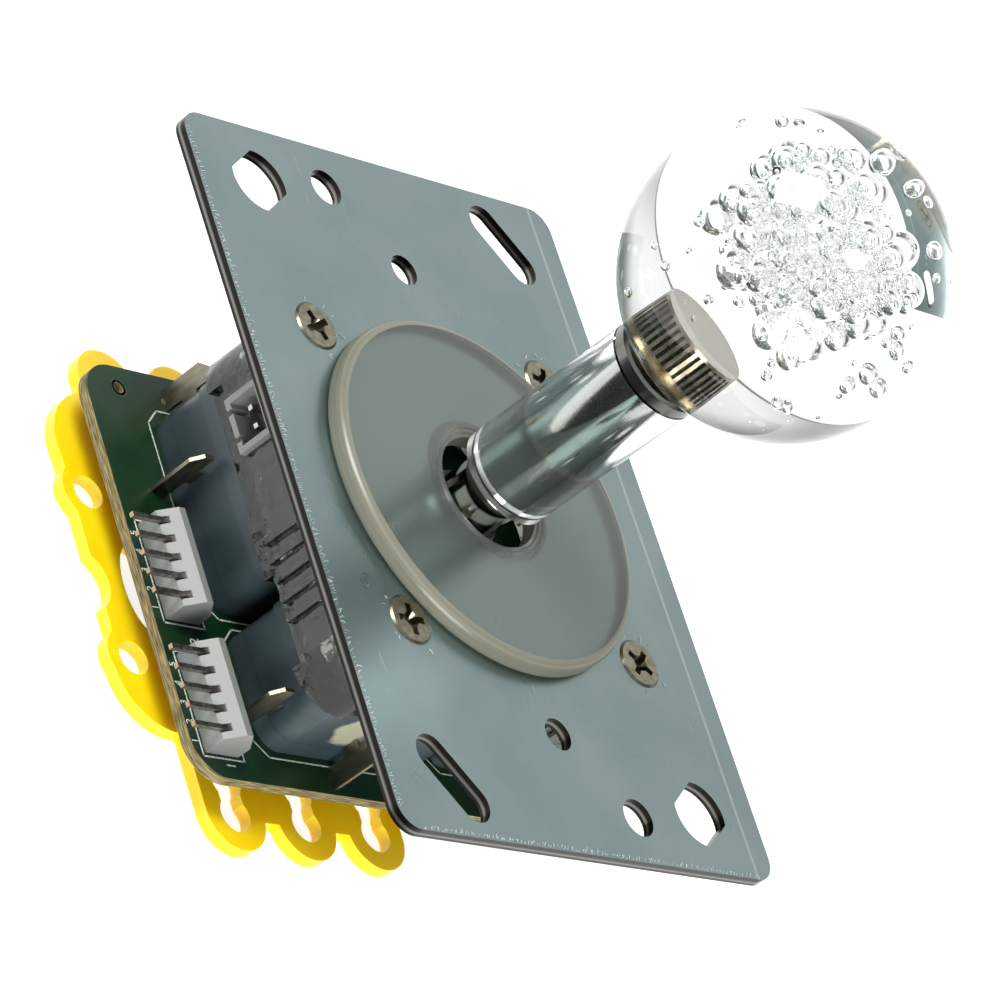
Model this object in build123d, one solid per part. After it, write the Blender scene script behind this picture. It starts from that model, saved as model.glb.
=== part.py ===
from build123d import *
from math import atan, cos, pi, radians, sqrt, tan
import os

# Joystick lever assembly, in millimetres and degrees.
# Origin: centre of the mounting plate's top face, on the lever's axis. +Z runs up the lever,
# +Y along the plate's long side and +X along its short side. The parts are named left for -X,
# front for -Y, right for +X and rear for +Y.

# Clearances
slip_gap = 0.05          # between pieces that are assembled into each other
running_gap = 0.3        # between the tilting lever and the fixed pieces
socket_gap = 0.2         # between the pivot ball and its seat
plunger_play = 0.05      # radial play of a switch plunger in its bore

# Motion of the lever and of the switch plungers
tilt = 8.0               # from upright to the stop, about X and about Y
plunger_travel = 0.75    # inward stroke of a switch plunger

# Mounting plate: zinc-plated sheet with four screws, two slots and six plain holes
plate_length = 97.0
plate_width = 66.0
plate_thickness = 1.6
plate_corner = 3.2
plate_bore = 19.5
centre_hole_spacing = 65.0
centre_hole = 4.3
corner_hole = 5.0
corner_hole_x = 10.0
corner_hole_inset = 6.1  # of a hole's middle from the plate's end, as below
slot_inset_x = 11.2
slot_inset_y = 7.5
slot_run = 7.5           # between the centres of the slot's two round ends
slot_width = 5.0
flat_hole_inset_x = 10.7
flat_hole_inset_y = 8.0
flat_hole = 8.8
flat_hole_across = 6.9   # between the hole's two flats
diagonal = -51.5         # direction of the slots, from +X

# Countersunk screws that hold the housing to the plate
screw_x = 20.4
screw_y = 20.1
screw_head = 6.5
screw_shank = 3.0
screw_length = 10.0
screw_crown = 0.25       # domed part of the head that stands above the plate
recess_width = 0.9
recess_depth = 1.3
recess_core = 2.2        # width of the recess's tapered middle at its mouth

# Clear dust disc that lies loose on the plate round the lever, a little off centre
disc_diameter = 48.4
disc_thickness = 2.5
disc_x = -0.8
disc_y = -0.7
disc_bore = 17.3
disc_edge = 0.3
disc_round = 1.2         # radius of the upper outer edge

# Lever
ball_diameter = 38.8
ball_centre = 50.9
shaft_diameter = 9.0
neck_diameter = 5.0
stud_diameter = 6.0
stud_height = 9.0
sleeve_diameter = 13.2
sleeve_low = 4.3
sleeve_high = 29.5
sleeve_rim = 0.5
ferrule_diameter = 13.2
ferrule_height = 2.0
insert_diameter = 7.8
insert_depth = 11.3      # how far the insert reaches into the ball
insert_teeth = 36
knurl_length = 3.2       # of the toothed part below the insert's upper end
tooth_depth = 0.3

# Pivot
pivot_drop = 4.4         # pivot centre below the plate's underside
pivot_ball_diameter = 12.4
pivot_ball_above = 3.8
pivot_ball_below = 4.4
seat_depth = 5.9         # underside of the seat below the pivot centre
seat_wall = 1.2

# Spring, actuator and clip on the lever's neck
washer_thickness = 0.6
spring_height = 4.5
spring_wire = 0.8
spring_mean_radius = 4.2
spring_turns = 3
actuator_diameter = 8.6
flange_diameter = 10.2
flange_height = 1.0
actuator_length = 10.5
clip_diameter = 8.0
clip_thickness = 0.6
clip_groove = 0.45
neck_tail = 0.6          # end of the neck above the restrictor's underside

# Clear housing
housing_side = 49.6
housing_depth = 13.6
housing_corner = 6.0
housing_wall = 1.8
housing_flange = 1.6
deck_thickness = 1.8
skirt_step = 2.4         # the skirt's shorter part above its full depth
skirt_step_y = 1.3
skirt_rebate = 0.9       # of the deck's edge under the shorter part
skirt_end_step = 1.4     # the same beyond the switch's end
skirt_end_y = -7.0
flange_bore = 26.0
screw_boss = 7.0
rib_count = 5
rib_width = 0.8
rib_depth = 0.7
rib_pitch = 2.6

# Lighting board with its connector
led_board_thickness = 1.6
led_board_radius = 12.5
led_length = 3.5
led_width = 2.8
led_height = 1.5
led_radius = 9.8
led_socket_y = 12.4
led_socket_length = 7.5
led_socket_height = 5.8
led_socket_depth = 6.0
led_socket_wall = 0.8
led_socket_proud = 0.8   # of its open face from the housing's wall
led_pin_pitch = 2.5
pin_side = 0.64
pin_hole = 1.02
led_gap = 0.5            # between the lamps and the flange above them

# Microswitches
case_length = 27.8
case_depth = 15.9
case_height = 10.3
case_offset = 8.4        # of the case's middle from the plunger's line
case_corner = 1.6
case_outer_corner = 3.0
case_lip = 0.25
case_lip_height = 2.2
mount_hole_inset = 2.8   # of a mounting hole's middle from the case's faces
mount_hole = 3.1
plunger_out = 1.2
plunger_inside = 3.0
plunger_diameter = 2.4
terminal_thickness = 0.5
terminal_stand = 0.9     # of a terminal's blade from the case
terminal_reach = 2.9
terminal_neck = 2.6
terminal_height = 8.4
terminal_chamfer = 1.4
outer_terminal_offset = 2.6   # of the outer terminal from the case's middle
end_terminal_inset = 3.4      # of the end terminal from the case's outer face
tail_diameter = 1.2
tail_below = 1.3

# Switch circuit board
board_width_left = 33.7
board_width_right = 28.6
board_half_length = 28.4
board_corner = 5.0
board_thickness = 1.6
test_hole = 1.5
test_hole_inset_x = 5.6
test_hole_inset_y = 3.1

# Five-way pin headers
header_pins = 5
header_pitch = 2.54
header_length = 13.0
header_depth = 5.4
header_front_height = 3.2
header_ridge_height = 4.8
header_ridge_from_front = 2.4
header_back_height = 2.1
header_groove = 1.0
header_groove_depth = 1.2
header_centre_a = -1.0
header_centre_b = -18.8
header_overhang = 4.6    # of the pin tips past the header's front
header_pin_height = 3.4
header_tail_inset = 1.4  # of the pins' tails from the header's back

# Restrictor: one moulding with a square gate, three loops on each long side and a wing at the left
gate_drop = 3.5          # below the circuit board's underside
gate_thickness = 1.8
gate_corner = 1.5
loop_pitch = 12.0
loop_first_x = 0.2
loop_count = 3
loop_radius = 4.8
loop_tip = 34.6          # outermost reach of a loop from the X axis
loop_web = 30.4          # reach of the web between the loops
loop_hole = 4.7
loop_hole_pitch = 4.4
loop_neck = 3.6
wing_x = 35.7            # reach of the wing's straight side
wing_rear_x = 27.2
wing_rear_y = 19.0
wing_rear_radius = 8.7
wing_front_x = 29.0
wing_front_y = -11.7
wing_front_radius = 8.0
waist_radius = 4.3
waist_depth = 1.8
window_x = 28.5
window_width = 5.8
window_length = 12.0
wing_hole = 4.5
wing_hole_wall = 1.8
wing_hole_rear_x = 32.9
wing_hole_rear_y = 12.7
wing_hole_front_x = 33.4
wing_hole_front_y = -10.1
restrictor_right = 27.0
restrictor_half = 25.6
spacer_diameter = 6.0

# Levels and radii that follow from the sizes above
plate_bottom = -plate_thickness
pivot_z = plate_bottom - pivot_drop
housing_bottom = plate_bottom - housing_depth
board_top = housing_bottom - case_height
board_bottom = board_top - board_thickness
gate_top = board_bottom - gate_drop
gate_bottom = gate_top - gate_thickness
diagonal_tilt = atan(sqrt(2) * tan(radians(tilt)))
neck_end = gate_bottom + neck_tail
socket_radius = pivot_ball_diameter / 2 + socket_gap
seat_bottom = pivot_z - seat_depth
washer_bottom = seat_bottom - washer_thickness
flange_top = washer_bottom - spring_height
actuator_bottom = flange_top - actuator_length
clip_bottom = actuator_bottom - clip_thickness
plunger_z = housing_bottom - case_height / 2
deck_top = housing_bottom + deck_thickness
led_board_bottom = plate_bottom - housing_flange - led_height - led_board_thickness - led_gap
led_board_top = led_board_bottom + led_board_thickness


def swept_radius(radius, level, angle):
    """Reach from the Z axis of a round piece of the lever at a level, tilted by an angle."""
    return radius / cos(angle) + abs(pivot_z - level) * tan(angle)


case_inner = (swept_radius(actuator_diameter / 2, plunger_z - plunger_diameter / 2, radians(tilt))
              + running_gap + plunger_out)
case_outer = case_inner + case_depth
seat_mouth = swept_radius(neck_diameter / 2, seat_bottom, diagonal_tilt) + running_gap
spring_reach = spring_mean_radius + spring_wire / 2
spring_well = swept_radius(spring_reach, housing_bottom, diagonal_tilt) + running_gap
board_bore = swept_radius(actuator_diameter / 2, board_bottom, diagonal_tilt) + 4 * running_gap
gate_half = swept_radius(neck_diameter / 2, neck_end, radians(tilt)) + running_gap


def upright(radius, low, high, x=0.0, y=0.0):
    """Round bar along Z between two levels."""
    return Pos(x, y, (low + high) / 2) * Cylinder(radius, high - low)


def block(x_low, x_high, y_low, y_high, z_low, z_high):
    """Box between two corners."""
    middle = Pos((x_low + x_high) / 2, (y_low + y_high) / 2, (z_low + z_high) / 2)
    return middle * Box(x_high - x_low, y_high - y_low, z_high - z_low)


def slab(outline, low, high):
    """Flat outline in the XY plane made into a plate between two levels."""
    return extrude(Pos(0, 0, low) * outline, high - low)


def turned(points):
    """Piece turned round the Z axis from a profile of radius and height."""
    profile = Plane.XZ * make_face(Polyline(*points, close=True))
    return revolve(profile, Axis.Z)


def four_ways(x, y):
    """The four places that lie at plus and minus x and y."""
    return [(sx * x, sy * y) for sx in (-1, 1) for sy in (-1, 1)]


def save(name, shape):
    """Write one piece, or one group of like pieces."""
    export_step(shape, f"parts/{name}.step")


# Plate


def flat_sided_hole():
    """Round hole outline with two flats across the slots' direction."""
    return Circle(flat_hole / 2) & Rectangle(flat_hole_across, flat_hole)


def mounting_plate():
    """Sheet plate with its bore, countersinks, slots and holes."""
    plate = slab(RectangleRounded(plate_width, plate_length, plate_corner), plate_bottom, 0)
    cut = 2 * plate_thickness
    end = plate_length / 2
    edge = plate_width / 2
    plate -= upright(plate_bore / 2, -cut, cut)
    for side in (-1, 1):
        plate -= upright(centre_hole / 2, -cut, cut, 0, side * centre_hole_spacing / 2)
        plate -= upright(corner_hole / 2, -cut, cut, -side * corner_hole_x, side * (end - corner_hole_inset))
        slot = Rot(0, 0, diagonal) * SlotCenterToCenter(slot_run, slot_width)
        slot = Pos(side * (edge - slot_inset_x), side * (end - slot_inset_y)) * slot
        plate -= slab(slot, -cut, cut)
        hole = Rot(0, 0, diagonal) * flat_sided_hole()
        hole = Pos(-side * (edge - flat_hole_inset_x), side * (end - flat_hole_inset_y)) * hole
        plate -= slab(hole, -cut, cut)
    for x, y in four_ways(screw_x, screw_y):
        plate -= Pos(x, y, 0) * screw_form(slip_gap)
    return plate


# Screws


def screw_form(extra):
    """Countersunk head and shank, made larger all round by a clearance."""
    head = screw_head / 2 + extra
    shank = screw_shank / 2 + extra
    return turned([
        (0, 0), (head, 0), (shank, shank - head), (shank, -screw_length - extra), (0, -screw_length - extra),
    ])


def plate_screw():
    """One screw with a low domed head and a cross recess."""
    screw = screw_form(0)
    screw += turned([
        (0, 0), (screw_head / 2, 0), (screw_head / 2 - screw_crown, screw_crown), (0, screw_crown),
    ])
    for angle in (0, 90):
        arm = Box(screw_head / 2 + recess_width, recess_width, 2 * recess_depth)
        screw -= Pos(0, 0, screw_crown) * Rot(0, 0, angle) * arm
    floor = screw_crown - recess_depth
    return screw - turned([
        (0, floor), (recess_width / 2, floor), (recess_core / 2, screw_crown), (0, screw_crown),
    ])


def plate_screws():
    """The four screws, each turned to its own angle."""
    places = four_ways(screw_x, screw_y)
    turns = [i * 25 for i in range(len(places))]
    screws = [Pos(x, y, 0) * Rot(0, 0, a) * plate_screw() for (x, y), a in zip(places, turns)]
    return Compound(children=screws)


# Dust disc


def dust_disc():
    """Clear ring that lies on the plate, rounded at its upper outer edge."""
    outer = disc_diameter / 2
    bore = disc_bore / 2
    disc = turned([
        (bore, 0), (outer - disc_edge, 0), (outer, disc_edge), (outer, disc_thickness),
        (bore + disc_edge, disc_thickness), (bore, disc_thickness - disc_edge),
    ])
    rim = disc.edges().filter_by(GeomType.CIRCLE).sort_by(Axis.Z)[-2:].sort_by(SortBy.RADIUS)[-1]
    return Pos(disc_x, disc_y, 0) * fillet(rim, disc_round)


# Lever


def lever_shaft():
    """Chromed shaft: thick above the pivot, a neck below it and a stud for the ball's insert."""
    thick = shaft_diameter / 2
    neck = neck_diameter / 2
    stud = stud_diameter / 2
    shoulder = pivot_z + pivot_ball_above
    groove = neck - clip_groove
    return turned([
        (0, neck_end), (neck - clip_groove, neck_end), (neck, neck_end + clip_groove),
        (neck, clip_bottom - slip_gap), (groove, clip_bottom - slip_gap), (groove, actuator_bottom),
        (neck, actuator_bottom), (neck, shoulder), (thick, shoulder), (thick, sleeve_high),
        (stud, sleeve_high), (stud, sleeve_high + stud_height), (0, sleeve_high + stud_height),
    ])


def clear_sleeve():
    """Clear tube over the shaft, with softened rims."""
    outer = sleeve_diameter / 2
    inner = shaft_diameter / 2 + slip_gap
    return turned([
        (inner, sleeve_low), (outer - sleeve_rim, sleeve_low), (outer, sleeve_low + sleeve_rim),
        (outer, sleeve_high), (inner, sleeve_high),
    ])


def ferrule_ring():
    """Polished collar between the sleeve and the ball."""
    outer = ferrule_diameter / 2
    inner = stud_diameter / 2 + slip_gap
    edge = ferrule_height / 6
    top = sleeve_high + ferrule_height
    return turned([
        (inner, sleeve_high), (outer - edge, sleeve_high), (outer, sleeve_high + edge),
        (outer, top - edge), (outer - edge, top), (inner, top),
    ])


def insert_bottom():
    """Level of the insert's lower face, on the ferrule."""
    return sleeve_high + ferrule_height


def insert_top():
    """Level of the insert's upper end, inside the ball."""
    return ball_centre - ball_diameter / 2 + insert_depth


def knurled_insert():
    """Metal bush moulded into the ball, with straight knurls and a threaded blind hole."""
    radius = insert_diameter / 2
    bush = upright(radius, insert_bottom(), insert_top())
    high = insert_top() - tooth_depth
    low = high - knurl_length
    groove_width = pi * insert_diameter / insert_teeth / 2
    for i in range(insert_teeth):
        groove = block(radius - tooth_depth, radius + tooth_depth, -groove_width / 2, groove_width / 2, low, high)
        bush -= Rot(0, 0, i * 360 / insert_teeth) * groove
    bore_top = sleeve_high + stud_height + slip_gap
    return bush - upright(stud_diameter / 2 + slip_gap, insert_bottom(), bore_top)


def ball_top():
    """Clear ball with the pocket that holds its insert."""
    ball = Pos(0, 0, ball_centre) * Sphere(ball_diameter / 2)
    return ball - upright(insert_diameter / 2 + slip_gap, insert_bottom(), insert_top() + slip_gap)


def pivot_ball():
    """Nylon ball cut off above and below, on the shaft's neck."""
    ball = Pos(0, 0, pivot_z) * Sphere(pivot_ball_diameter / 2)
    reach = pivot_ball_diameter
    ball &= block(-reach, reach, -reach, reach, pivot_z - pivot_ball_below, pivot_z + pivot_ball_above)
    return ball - upright(neck_diameter / 2 + slip_gap, pivot_z - reach, pivot_z + reach)


def actuator():
    """Round bush that presses the switches, with the spring's lower seat as its flange."""
    body = actuator_diameter / 2
    flange = flange_diameter / 2
    bore = neck_diameter / 2 + slip_gap
    step = flange_top - flange_height
    return turned([
        (bore, actuator_bottom), (body - clip_groove, actuator_bottom), (body, actuator_bottom + clip_groove),
        (body, step - (flange - body)), (flange, step), (flange, flange_top), (bore, flange_top),
    ])


def retaining_clip():
    """Open spring clip in the neck's groove."""
    clip = upright(clip_diameter / 2, clip_bottom, actuator_bottom)
    bore = neck_diameter / 2 - clip_groove + slip_gap
    clip -= upright(bore, clip_bottom, actuator_bottom)
    mouth = bore * sqrt(3) / 2
    return clip - block(0, clip_diameter, -mouth, mouth, clip_bottom, actuator_bottom)


def spring_washer():
    """Flat steel ring between the seat and the spring."""
    return upright(spring_well - 2 * running_gap, washer_bottom, seat_bottom) - upright(
        seat_mouth, washer_bottom, seat_bottom)


def centring_spring():
    """Compression spring between the washer and the actuator."""
    rise = spring_height - spring_wire - 2 * slip_gap
    start = flange_top + spring_wire / 2 + slip_gap
    path = Pos(0, 0, start) * Helix(rise / spring_turns, rise, spring_mean_radius)
    section = Plane(path @ 0, z_dir=path % 0) * Circle(spring_wire / 2)
    return sweep(section, path)


# Housing


def housing_shell():
    """Square tray, open below at its walls and closed by a deck over the switches."""
    outline = RectangleRounded(housing_side, housing_side, housing_corner)
    inner_side = housing_side - 2 * housing_wall
    inside = RectangleRounded(inner_side, inner_side, housing_corner - housing_wall)
    shell = slab(outline, housing_bottom, plate_bottom)
    shell -= slab(inside, deck_top, plate_bottom - housing_flange)
    shell -= upright(flange_bore / 2, deck_top, plate_bottom)
    edge = housing_side / 2
    straight = edge - housing_corner
    rebate = block(-housing_side, skirt_rebate - edge, skirt_step_y, straight,
                   housing_bottom, housing_bottom + skirt_step)
    rebate += block(-housing_side, housing_wall - edge, -straight, skirt_end_y,
                    housing_bottom, housing_bottom + skirt_end_step)
    for turn in range(4):
        shell -= Rot(0, 0, 90 * turn) * rebate
    return shell


def housing_boss():
    """Seat of the pivot ball with the spring's well below it."""
    spigot = socket_radius + seat_wall
    boss = upright(spigot + seat_wall, housing_bottom, led_board_bottom)
    boss += upright(spigot, led_board_bottom, led_board_top)
    boss -= Pos(0, 0, pivot_z) * Sphere(socket_radius)
    boss -= upright(socket_radius, pivot_z, led_board_top)
    boss -= upright(seat_mouth, seat_bottom, pivot_z)
    return boss - upright(spring_well, housing_bottom, seat_bottom)


def side_ribs():
    """Upright ribs on one outer wall, towards the -Y half of the left side."""
    face = housing_side / 2
    ribs = []
    for i in range(rib_count):
        y = -housing_corner / 2 - i * rib_pitch
        ribs.append(block(-face - rib_depth, -face, y - rib_width / 2, y + rib_width / 2, deck_top,
                          plate_bottom - housing_flange))
    return ribs


def peg_places():
    """Places of the pegs through the switches' mounting holes, for the left switch."""
    middle = case_inner + case_depth / 2
    long_half = case_length / 2 - mount_hole_inset
    short_half = case_depth / 2 - mount_hole_inset
    return [(-middle + side * short_half, case_offset + side * long_half) for side in (-1, 1)]


def clear_housing():
    """Clear moulding that holds the pivot, the lighting board, the switches and the boards below."""
    housing = housing_shell()
    housing -= upright(socket_radius + seat_wall, housing_bottom, deck_top)
    housing += housing_boss()
    for x, y in four_ways(screw_x, screw_y):
        housing += upright(screw_boss / 2, deck_top, plate_bottom - housing_flange, x, y)
    for x, y in four_ways(screw_x, screw_y):
        housing -= Pos(x, y, 0) * screw_form(slip_gap)
    for turn in range(4):
        for x, y in peg_places():
            peg = upright(mount_hole / 2 - slip_gap, gate_top - gate_thickness / 2, deck_top, x, y)
            housing += Rot(0, 0, 90 * turn) * peg
        for rib in side_ribs():
            housing += Rot(0, 0, 90 * turn) * rib
    half = led_socket_length / 2 + running_gap
    window = block(-housing_side, -housing_side / 2 + led_socket_depth, led_socket_y - half, led_socket_y + half,
                   led_board_bottom - led_socket_height - running_gap, led_board_top + running_gap)
    return housing - window


# Lighting


def led_board():
    """Ring board round the pivot with an arm that carries its connector."""
    arm_half = led_socket_length / 2
    arm_left = -housing_side / 2 + housing_wall / 2
    board = upright(led_board_radius, led_board_bottom, led_board_top)
    board += block(arm_left, -led_board_radius / 2, led_socket_y - arm_half, led_socket_y + arm_half,
                   led_board_bottom, led_board_top)
    for y in led_pin_rows():
        board -= upright(pin_hole / 2, led_board_bottom, led_board_top, led_pin_x(), y)
    return board - upright(socket_radius + seat_wall + slip_gap, led_board_bottom, led_board_top)


def leds():
    """Four flat lamps round the shaft."""
    lamp = block(-led_length / 2, led_length / 2, -led_width / 2, led_width / 2, led_board_top,
                 led_board_top + led_height)
    return Compound(children=[Rot(0, 0, 45 + 90 * i) * Pos(led_radius, 0, 0) * Rot(0, 0, 90) * lamp
                              for i in range(4)])


def led_socket_left():
    """Open face of the lighting connector, a little proud of the housing's wall."""
    return -housing_side / 2 - led_socket_proud


def led_pin_rows():
    """Y places of the lighting connector's two pins."""
    return [led_socket_y + side * led_pin_pitch / 2 for side in (-1, 1)]


def led_pin_x():
    """X place where the lighting connector's pins enter the board."""
    return led_socket_left() + led_socket_depth - pin_side / 2 - led_socket_wall - slip_gap


def led_header_shell():
    """Shrouded two-way connector that hangs under the lighting board."""
    left = led_socket_left()
    half = led_socket_length / 2
    low = led_board_bottom - led_socket_height
    shell = block(left, left + led_socket_depth, led_socket_y - half, led_socket_y + half, low, led_board_bottom)
    wall = led_socket_wall
    back = left + led_socket_depth - 2 * wall
    shell -= block(left, back, led_socket_y - half + wall, led_socket_y + half - wall, low + wall,
                   led_board_bottom - wall)
    for side in (-1, 1):
        y = led_socket_y + side * led_pin_pitch * 0.75
        shell -= block(left, left + led_socket_depth / 2, y - wall / 2, y + wall / 2, low, low + wall)
    return shell - led_pins(slip_gap)


def led_pins(extra):
    """The two bent pins of the lighting connector, made larger all round by a clearance."""
    side = pin_side / 2 + extra
    level = led_board_bottom - led_socket_height / 2
    x = led_pin_x()
    front = led_socket_left() + led_socket_wall
    pins = []
    for y in led_pin_rows():
        pin = block(front - extra, x + side, y - side, y + side, level - side, level + side)
        pin += block(x - side, x + side, y - side, y + side, level - side, led_board_top + pin_side)
        pins.append(pin)
    return Compound(children=pins)


# Switches


def place_switch(turn, shape):
    """Left switch's piece turned to its own side of the lever."""
    return Rot(0, 0, 90 * turn) * shape


def case_outline(inset):
    """Left switch's outline, set in all round, with larger corners on its outer side."""
    outline = Rectangle(case_depth - 2 * inset, case_length - 2 * inset)
    corners = outline.vertices().sort_by(Axis.X)
    outline = fillet(corners[:2], case_outer_corner)
    outline = fillet(outline.vertices().sort_by(Axis.X)[-2:], case_corner)
    return Pos(-(case_inner + case_depth / 2), case_offset) * outline


def switch_case():
    """Closed case of the left switch with its plunger bore and two mounting holes."""
    case = slab(case_outline(0), housing_bottom - case_lip_height, housing_bottom)
    case += slab(case_outline(case_lip), board_top, housing_bottom - case_lip_height)
    for x, y in peg_places():
        case -= upright(mount_hole / 2, board_top, housing_bottom, x, y)
    depth = plunger_inside + plunger_travel + running_gap
    bore = Pos(-case_inner - depth / 2, 0, plunger_z) * Rot(0, 90, 0) * Cylinder(
        plunger_diameter / 2 + plunger_play, depth)
    return case - bore


def switch_plunger():
    """Round plunger of the left switch, domed towards the lever."""
    radius = plunger_diameter / 2
    tip = -case_inner + plunger_out
    root = -case_inner - plunger_inside
    rod = Pos((tip + root) / 2, 0, plunger_z) * Rot(0, 90, 0) * Cylinder(radius, tip - root)
    dome = radius / 3
    return fillet(rod.edges().filter_by(GeomType.CIRCLE).sort_by(Axis.X)[-1], dome)


def blade():
    """Terminal blade standing on the board, joined to the case by a narrower neck."""
    outer = terminal_stand + terminal_reach
    middle = terminal_height / 2
    outline = make_face(Polyline(
        (terminal_stand, 0), (outer, 0), (outer, terminal_height - terminal_chamfer),
        (outer - terminal_chamfer, terminal_height), (terminal_stand, terminal_height), close=True))
    neck = Pos(outer / 2, middle) * Rectangle(outer, terminal_neck)
    return extrude(Plane.XZ * (outline + neck), terminal_thickness / 2, both=True)


def tail_place():
    """Distance of a terminal's tail from the case's face."""
    return terminal_stand + terminal_reach / 2


def terminal_places():
    """Places and directions of the left switch's two terminals."""
    outer_face = -case_outer
    end_face = case_offset + case_length / 2
    return [
        (outer_face - slip_gap, case_offset + outer_terminal_offset, 180),
        (outer_face + end_terminal_inset, end_face + slip_gap, 90),
    ]


def switch_terminals():
    """Both terminals of the left switch, with their soldered tails through the board."""
    pieces = []
    for x, y, angle in terminal_places():
        piece = blade()
        piece += upright(tail_diameter / 2, board_bottom - board_top - tail_below, 0, tail_place())
        pieces.append(Pos(x, y, board_top) * Rot(0, 0, angle) * piece)
    return Compound(children=pieces)


# Circuit board


def switch_board():
    """Circuit board under the switches, wider on the side of the pin headers."""
    middle = (board_width_right - board_width_left) / 2
    outline = Pos(middle, 0) * RectangleRounded(
        board_width_left + board_width_right, 2 * board_half_length, board_corner)
    board = slab(outline, board_bottom, board_top)
    board -= upright(board_bore, board_bottom, board_top)
    board -= upright(test_hole / 2, board_bottom, board_top, test_hole_inset_x - board_width_left,
                     board_half_length - test_hole_inset_y)
    for turn in range(4):
        for x, y in peg_places():
            board -= Rot(0, 0, 90 * turn) * upright(mount_hole / 2, board_bottom, board_top, x, y)
        for x, y, angle in terminal_places():
            hole = upright(tail_diameter / 2 + slip_gap, board_bottom, board_top)
            tail = Pos(x, y, 0) * Rot(0, 0, angle) * Pos(tail_place(), 0, 0) * hole
            board -= Rot(0, 0, 90 * turn) * tail
    for centre in (header_centre_a, header_centre_b):
        for y in header_rows(centre):
            board -= upright(pin_hole / 2, board_bottom, board_top, header_tail_x(), y)
    return board


# Pin headers


def header_back():
    """Back of a pin header, clear of the front switch's end terminal."""
    return -(case_length / 2 + case_offset + terminal_stand + terminal_reach + slip_gap + running_gap)


def header_front():
    """Front of a pin header."""
    return header_back() - header_depth


def header_tail_x():
    """X place where a header's pins pass through the circuit board."""
    return header_back() - header_tail_inset


def header_rows(centre):
    """Y places of one header's pins."""
    first = centre - header_pitch * (header_pins - 1) / 2
    return [first + i * header_pitch for i in range(header_pins)]


def header_pin_set(centre, extra):
    """Bent square pins of one header, made larger all round by a clearance."""
    side = pin_side / 2 + extra
    level = board_top + header_pin_height
    x = header_tail_x()
    pins = []
    for y in header_rows(centre):
        pin = block(header_front() - header_overhang, x + side, y - side, y + side, level - side, level + side)
        pin += block(x - side, x + side, y - side, y + side, board_bottom - tail_below, level)
        pins.append(pin)
    return Compound(children=pins)


def pin_header_body(centre):
    """Ridged moulding with an open groove over each pin."""
    front = header_front()
    ridge = front + header_ridge_from_front
    outline = make_face(Polyline(
        (front, board_top), (header_back(), board_top), (header_back(), board_top + header_back_height),
        (ridge + header_groove, board_top + header_ridge_height), (ridge, board_top + header_ridge_height),
        (front, board_top + header_front_height), close=True))
    body = Pos(0, centre, 0) * extrude(Plane.XZ * outline, header_length / 2, both=True)
    floor = board_top + header_pin_height - pin_side / 2 - slip_gap
    for y in header_rows(centre):
        body -= block(front, front + header_groove_depth, y - header_groove / 2, y + header_groove / 2, floor,
                      board_top + header_ridge_height)
    return body - header_pin_set(centre, slip_gap)


# Restrictor


def loop_hole_outline():
    """Keyhole of one loop: two round ends joined by a narrower neck."""
    hole = Circle(loop_hole / 2) + Pos(0, -loop_hole_pitch) * Circle(loop_hole / 2)
    return hole + Pos(0, -loop_hole_pitch / 2) * Rectangle(loop_neck, loop_hole_pitch)


def loop_places():
    """Places of the loops' round ends on the rear side."""
    return [(loop_first_x - i * loop_pitch, loop_tip - loop_radius) for i in range(loop_count)]


def wing_holes():
    """Places of the wing's two small holes."""
    return [(-wing_hole_rear_x, wing_hole_rear_y), (-wing_hole_front_x, wing_hole_front_y)]


def wing_outline():
    """Wing at the left: two round shoulders with a boss round each hole, and a waist between them."""
    rear = Pos(-wing_rear_x, wing_rear_y) * Circle(wing_rear_radius)
    front = Pos(-wing_front_x, wing_front_y) * Circle(wing_front_radius)
    middle = (wing_rear_y + wing_front_y) / 2
    side = Pos(-wing_x / 2, middle) * Rectangle(wing_x, wing_rear_y - wing_front_y)
    waist = Pos(waist_depth - waist_radius - wing_x, 0) * Circle(waist_radius)
    wing = rear + front + side - waist
    for x, y in wing_holes():
        wing += Pos(x, y) * Circle(wing_hole / 2 + wing_hole_wall)
    return wing


def restrictor_outline():
    """Flat body with its wing, its window and the loops on both long sides."""
    loops_left = loop_first_x - (loop_count - 1) * loop_pitch - loop_radius
    loops_right = loop_first_x + loop_radius
    body = Pos((restrictor_right + loops_left) / 2, 0) * Rectangle(
        restrictor_right - loops_left, 2 * restrictor_half)
    web = Pos((loops_right + loops_left) / 2, 0) * Rectangle(loops_right - loops_left, 2 * loop_web)
    body += web + wing_outline()
    for side in (-1, 1):
        for x, y in loop_places():
            body += Pos(x, side * y) * Circle(loop_radius)
    return body - Pos(-window_x, 0) * Ellipse(window_width / 2, window_length / 2)


def restrictor_gate():
    """Moulded restrictor with its square gate, loops and the spacers that carry the pegs."""
    gate = slab(restrictor_outline(), gate_bottom, gate_top)
    opening = RectangleRounded(2 * gate_half, 2 * gate_half, gate_corner)
    gate -= slab(opening, gate_bottom, gate_top)
    for x, y in wing_holes():
        gate -= upright(wing_hole / 2, gate_bottom, gate_top, x, y)
    for side in (-1, 1):
        for x, y in loop_places():
            angle = 0 if side > 0 else 180
            hole = Pos(x, side * y) * Rot(0, 0, angle) * loop_hole_outline()
            gate -= slab(hole, gate_bottom, gate_top)
    for turn in range(4):
        for x, y in peg_places():
            gate += Rot(0, 0, 90 * turn) * upright(spacer_diameter / 2, gate_top, board_bottom, x, y)
    for turn in range(4):
        for x, y in peg_places():
            socket = upright(mount_hole / 2, gate_top - gate_thickness / 2 - slip_gap, board_bottom, x, y)
            gate -= Rot(0, 0, 90 * turn) * socket
    return gate


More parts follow.
